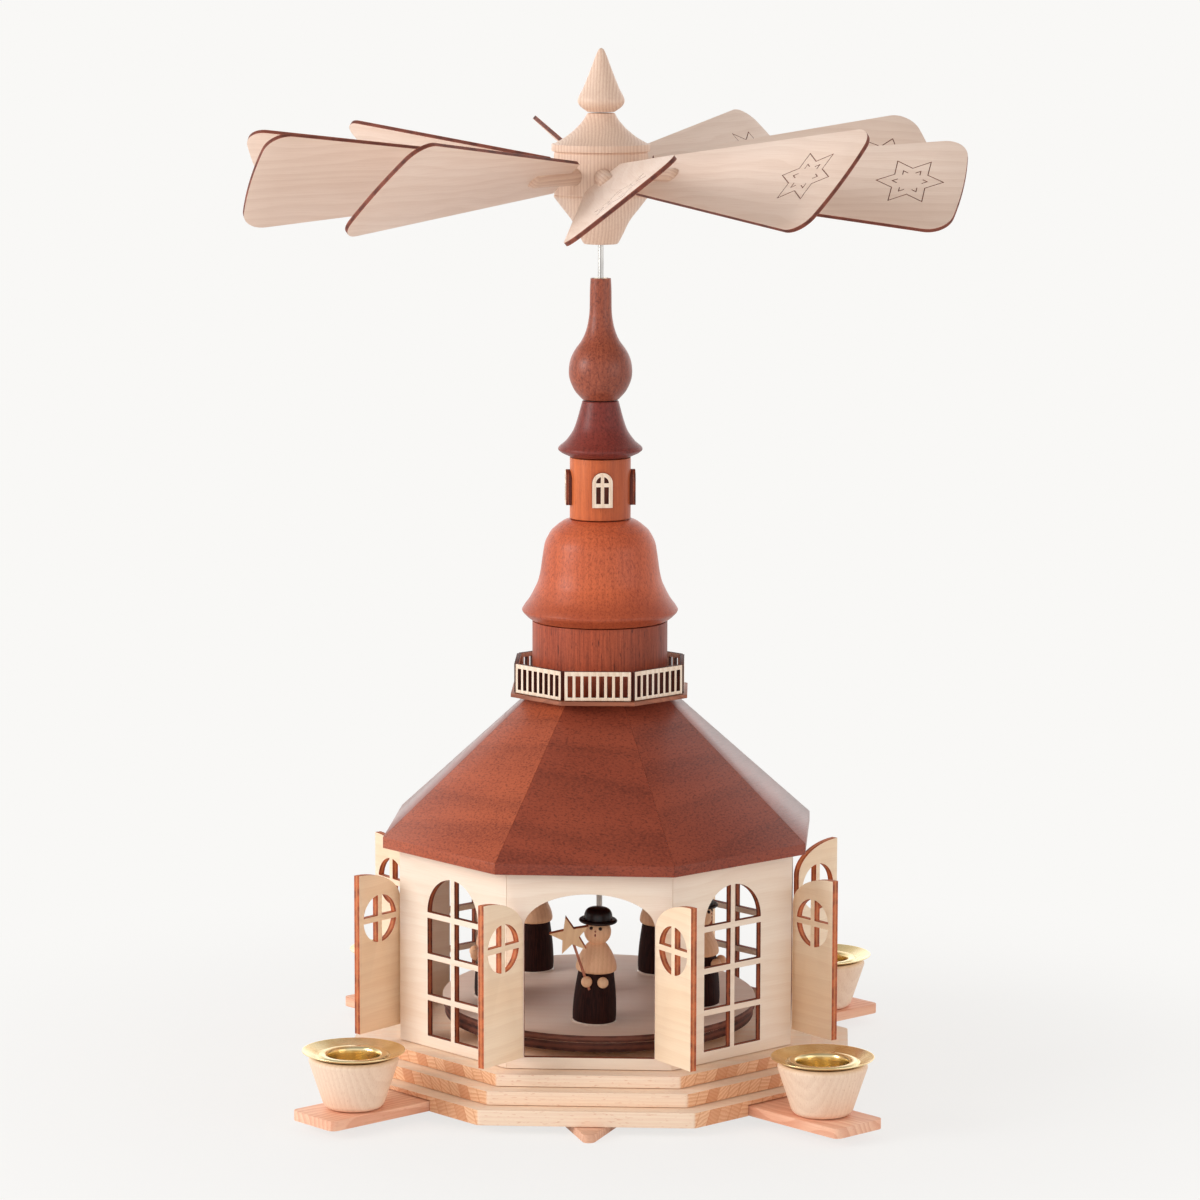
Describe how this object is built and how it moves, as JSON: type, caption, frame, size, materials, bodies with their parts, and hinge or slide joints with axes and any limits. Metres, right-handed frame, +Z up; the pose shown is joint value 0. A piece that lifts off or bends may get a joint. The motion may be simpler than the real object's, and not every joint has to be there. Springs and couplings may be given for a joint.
{
  "type": "christmas pyramid",
  "caption": "Candle-driven wooden Christmas pyramid shaped as an octagonal church with a spire, a fan of pitched blades on top, and a turntable of carol singers seen through open doors",
  "frame": {"origin": "on the surface that the pyramid stands on, in the middle of the resting face, on the shaft's axis", "axes": "+Z up along the shaft; -Y is the front, through the doorway that the picture looks into; +X to its right"},
  "size_m": [0.2466, 0.2486, 0.355],
  "materials": {
    "maple": "fine sanded pale maple plywood, dark laser-cut edges",
    "beech": "turned beech with short fine flecks, bare",
    "light_beech": "turned pale beech, bare",
    "pear_beech": "pinkish planed beech board",
    "beech_shade": "pinkish planed beech board",
    "mahogany": "red-brown mahogany with dark pores, silk varnish",
    "padauk": "orange-red hardwood, silk varnish",
    "gallery_wood": "red-brown thin board",
    "brown_plywood": "dark brown plywood edge",
    "figure_wood": "black-stained skirt and hat, bare wood cape and head",
    "brass": "bright pressed brass",
    "steel": "bright drawn rod"
  },
  "bodies": {
    "house": {"under_plate": "beech_shade", "base_board_lower": "beech", "base_board_middle": "beech", "base_board_upper": "beech", "arm_board_a": "pear_beech", "arm_board_b": "pear_beech", "roof": "mahogany", "gallery_plate": "gallery_wood", "balustrade": "maple", "lower_drum": "mahogany", "bell_dome": "mahogany", "upper_drum": "padauk", "lantern_roof": "mahogany", "spire": "mahogany", "upper_bush": "brass", "lower_bearing": "brass", "doorway_wall_front": "maple", "doorway_wall_right": "maple", "doorway_wall_back": "maple", "doorway_wall_left": "maple", "window_wall_front_right": "maple", "candle_cup_front_right": "light_beech", "candle_pan_front_right": "brass", "window_wall_back_right": "maple", "candle_cup_back_right": "light_beech", "candle_pan_back_right": "brass", "window_wall_back_left": "maple", "candle_cup_back_left": "light_beech", "candle_pan_back_left": "brass", "window_wall_front_left": "maple", "candle_cup_front_left": "light_beech", "candle_pan_front_left": "brass"},
    "rotor": {"shaft": "steel", "hub": "beech", "finial": "beech", "turntable": "maple", "turntable_backing_disc": "brown_plywood", "figure_star_bearer": "figure_wood", "figure_singer_1": "figure_wood", "figure_singer_2": "figure_wood", "figure_singer_3": "figure_wood", "figure_singer_4": "figure_wood"},
    "blade_01": {"blade_01": "maple"},
    "blade_02": {"blade_02": "maple"},
    "blade_03": {"blade_03": "maple"},
    "blade_04": {"blade_04": "maple"},
    "blade_05": {"blade_05": "maple"},
    "blade_06": {"blade_06": "maple"},
    "blade_07": {"blade_07": "maple"},
    "blade_08": {"blade_08": "maple"},
    "blade_09": {"blade_09": "maple"},
    "blade_10": {"blade_10": "maple"},
    "door_leaf_front_right": {"door_leaf_front_right": "maple"},
    "door_leaf_front_left": {"door_leaf_front_left": "maple"},
    "door_leaf_right_right": {"door_leaf_right_right": "maple"},
    "door_leaf_right_left": {"door_leaf_right_left": "maple"},
    "door_leaf_back_right": {"door_leaf_back_right": "maple"},
    "door_leaf_back_left": {"door_leaf_back_left": "maple"},
    "door_leaf_left_right": {"door_leaf_left_right": "maple"},
    "door_leaf_left_left": {"door_leaf_left_left": "maple"}
  },
  "joints": [
    {"name": "rotor_spin", "type": "hinge", "parent": "house", "child": "rotor", "pos_m": [0, 0, 0.303], "axis": [0, 0, 1], "continuous": true},
    {"name": "blade_01_pitch", "type": "hinge", "parent": "rotor", "child": "blade_01", "pos_m": [0.00162, -0.01592, 0.31192], "axis": [0.101, -0.9947, -0.0175], "range_deg": [-28, 44]},
    {"name": "blade_02_pitch", "type": "hinge", "parent": "rotor", "child": "blade_02", "pos_m": [0.01045, -0.01211, 0.31262], "axis": [0.6532, -0.7567, 0.0262], "range_deg": [-28, 44]},
    {"name": "blade_03_pitch", "type": "hinge", "parent": "rotor", "child": "blade_03", "pos_m": [0.01566, -0.00324, 0.31192], "axis": [0.9791, -0.2028, -0.0175], "range_deg": [-28, 44]},
    {"name": "blade_04_pitch", "type": "hinge", "parent": "rotor", "child": "blade_04", "pos_m": [0.01464, 0.00646, 0.31248], "axis": [0.9148, 0.4035, 0.0175], "range_deg": [-28, 44]},
    {"name": "blade_05_pitch", "type": "hinge", "parent": "rotor", "child": "blade_05", "pos_m": [0.00781, 0.01396, 0.31248], "axis": [0.4878, 0.8728, 0.0175], "range_deg": [-28, 44]},
    {"name": "blade_06_pitch", "type": "hinge", "parent": "rotor", "child": "blade_06", "pos_m": [-0.00189, 0.01589, 0.3122], "axis": [-0.1184, 0.993, 0], "range_deg": [-28, 44]},
    {"name": "blade_07_pitch", "type": "hinge", "parent": "rotor", "child": "blade_07", "pos_m": [-0.01087, 0.01174, 0.3122], "axis": [-0.6794, 0.7337, 0], "range_deg": [-28, 44]},
    {"name": "blade_08_pitch", "type": "hinge", "parent": "rotor", "child": "blade_08", "pos_m": [-0.01551, 0.00392, 0.31206], "axis": [-0.9694, 0.2453, -0.0087], "range_deg": [-28, 44]},
    {"name": "blade_09_pitch", "type": "hinge", "parent": "rotor", "child": "blade_09", "pos_m": [-0.01452, -0.00671, 0.3122], "axis": [-0.9078, -0.4195, 0], "range_deg": [-28, 44]},
    {"name": "blade_10_pitch", "type": "hinge", "parent": "rotor", "child": "blade_10", "pos_m": [-0.00853, -0.01354, 0.3122], "axis": [-0.5329, -0.8462, 0], "range_deg": [-28, 44]},
    {"name": "door_leaf_front_right_hinge", "type": "hinge", "parent": "house", "child": "door_leaf_front_right", "pos_m": [0.022, -0.06902, 0.049], "axis": [0, 0, 1], "range_deg": [-126.5, 18.5]},
    {"name": "door_leaf_front_left_hinge", "type": "hinge", "parent": "house", "child": "door_leaf_front_left", "pos_m": [-0.022, -0.06902, 0.049], "axis": [0, 0, -1], "range_deg": [-125, 20]},
    {"name": "door_leaf_right_right_hinge", "type": "hinge", "parent": "house", "child": "door_leaf_right_right", "pos_m": [0.06902, 0.022, 0.049], "axis": [0, 0, 1], "range_deg": [-139.5, 5.5]},
    {"name": "door_leaf_right_left_hinge", "type": "hinge", "parent": "house", "child": "door_leaf_right_left", "pos_m": [0.06902, -0.022, 0.049], "axis": [0, 0, -1], "range_deg": [-139, 6]},
    {"name": "door_leaf_back_right_hinge", "type": "hinge", "parent": "house", "child": "door_leaf_back_right", "pos_m": [-0.022, 0.06902, 0.049], "axis": [0, 0, 1], "range_deg": [-135, 10]},
    {"name": "door_leaf_back_left_hinge", "type": "hinge", "parent": "house", "child": "door_leaf_back_left", "pos_m": [0.022, 0.06902, 0.049], "axis": [0, 0, -1], "range_deg": [-135, 10]},
    {"name": "door_leaf_left_right_hinge", "type": "hinge", "parent": "house", "child": "door_leaf_left_right", "pos_m": [-0.06902, -0.022, 0.049], "axis": [0, 0, 1], "range_deg": [-143, 2]},
    {"name": "door_leaf_left_left_hinge", "type": "hinge", "parent": "house", "child": "door_leaf_left_left", "pos_m": [-0.06902, 0.022, 0.049], "axis": [0, 0, -1], "range_deg": [-142, 3]}
  ]
}
